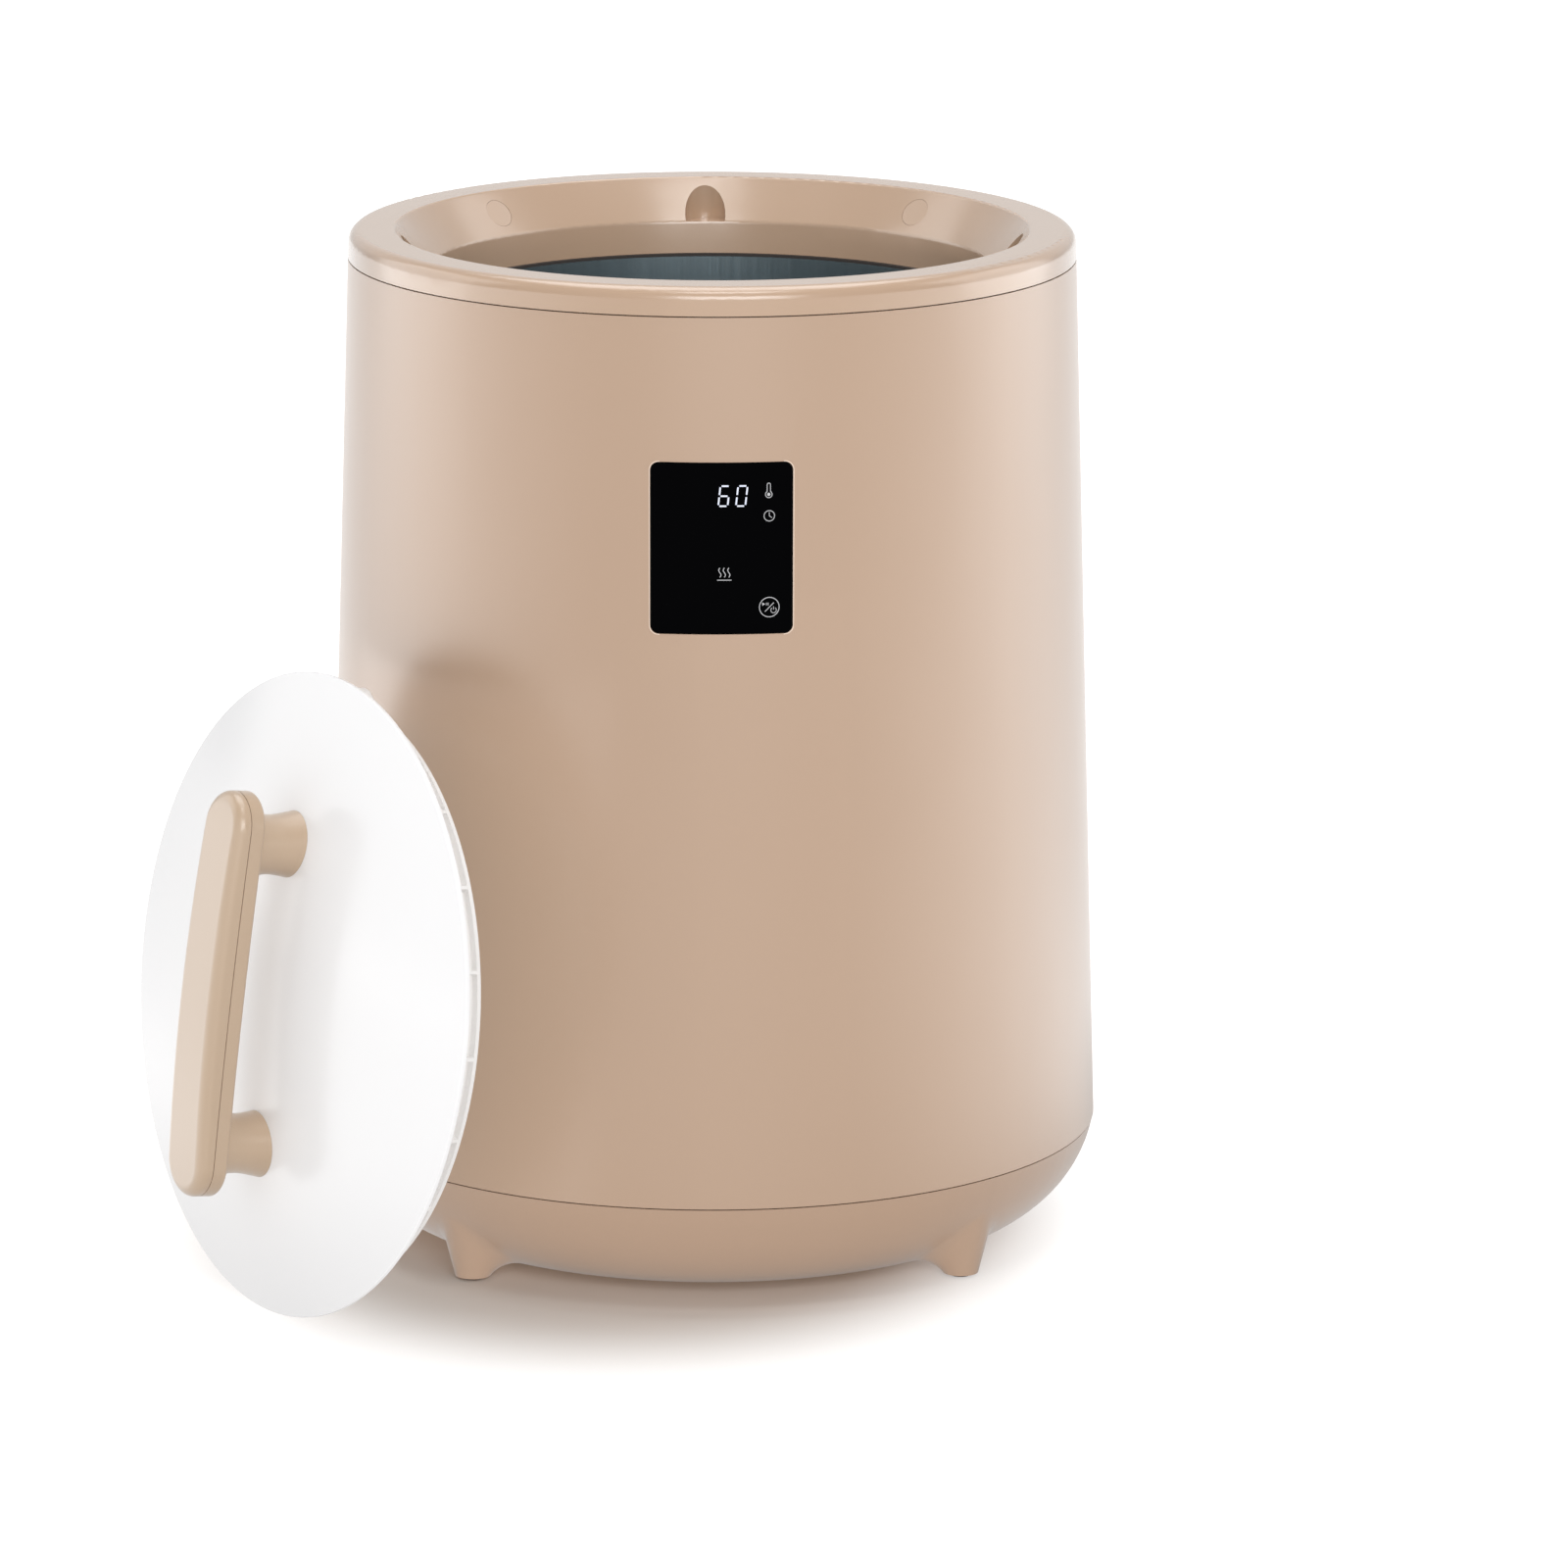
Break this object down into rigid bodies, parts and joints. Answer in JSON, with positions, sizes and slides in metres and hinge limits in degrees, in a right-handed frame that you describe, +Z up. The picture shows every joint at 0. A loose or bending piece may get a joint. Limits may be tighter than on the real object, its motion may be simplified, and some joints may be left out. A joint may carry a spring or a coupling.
{
  "type": "towel warmer bucket",
  "caption": "Free-standing heated bucket for warming towels, with a funnel rim, a touch panel, flared feet and a domed lift-off lid with a bar handle.",
  "frame": {"origin": "on the floor at the bucket's axis, level with the undersides of the rubber foot pads", "axes": "+Z up along the bucket's axis, -Y towards the control panel (front), +X to the right seen from the front"},
  "size_m": [0.3804, 0.3902, 0.4],
  "materials": {
    "body_gloss": "glossy moulded beige plastic",
    "ring_gloss": "glossy moulded beige plastic",
    "handle_plastic": "satin moulded beige plastic",
    "lid_white": "glossy white plastic",
    "tray_white": "milky grey-white plastic",
    "frame_plastic": "plain natural plastic",
    "black_plastic": "black moulded plastic",
    "panel_black": "black polished lens",
    "liner_aluminium": "satin drawn aluminium",
    "steel": "zinc plated steel",
    "dark_rubber": "dark rubber",
    "heater_silicone": "orange-red silicone heating mat",
    "felt": "needled fibre felt",
    "foam": "closed-cell foam",
    "board_green": "lacquered circuit board",
    "component": "moulded component",
    "lead_sheath": "silicone lead sheath",
    "digits": "grey digit block"
  },
  "bodies": {
    "housing": {"body_shell": "body_gloss", "top_ring": "ring_gloss", "base_shell": "body_gloss", "rim_plugs": "ring_gloss", "foot_pads": "dark_rubber", "foot_screws": "steel", "ring_screws": "steel", "shield_screws": "steel", "bracket_screws": "steel", "board_screws": "steel", "inner_frame": "frame_plastic", "rim_gasket": "dark_rubber", "inner_bucket": "liner_aluminium", "heating_band": "heater_silicone", "insulation_sleeve": "felt", "base_felt": "felt", "heat_shield": "steel", "thermostat": "component", "thermal_fuse": "steel", "panel_lens": "panel_black", "display_bracket": "black_plastic", "display_board": "board_green", "digit_module": "digits", "touch_pad": "dark_rubber", "power_board": "board_green", "transformer": "component", "relay": "component", "terminal_block": "component", "buzzer": "component", "capacitors": "component", "cord_gland": "black_plastic", "gland_nut": "black_plastic", "heater_leads": "lead_sheath", "display_lead": "lead_sheath"},
    "lid": {"lid_top_plate": "lid_white", "lid_tray": "tray_white", "lid_foam": "foam", "lid_reflector": "liner_aluminium", "lid_screws": "steel", "handle_cover": "handle_plastic", "handle_base": "handle_plastic", "handle_screws": "steel", "handle_washers": "steel"}
  },
  "joints": [
    {"name": "lid_lift", "type": "slide", "parent": "housing", "child": "lid", "axis": [0, 0, 1], "range_m": [0, 0.42]}
  ]
}
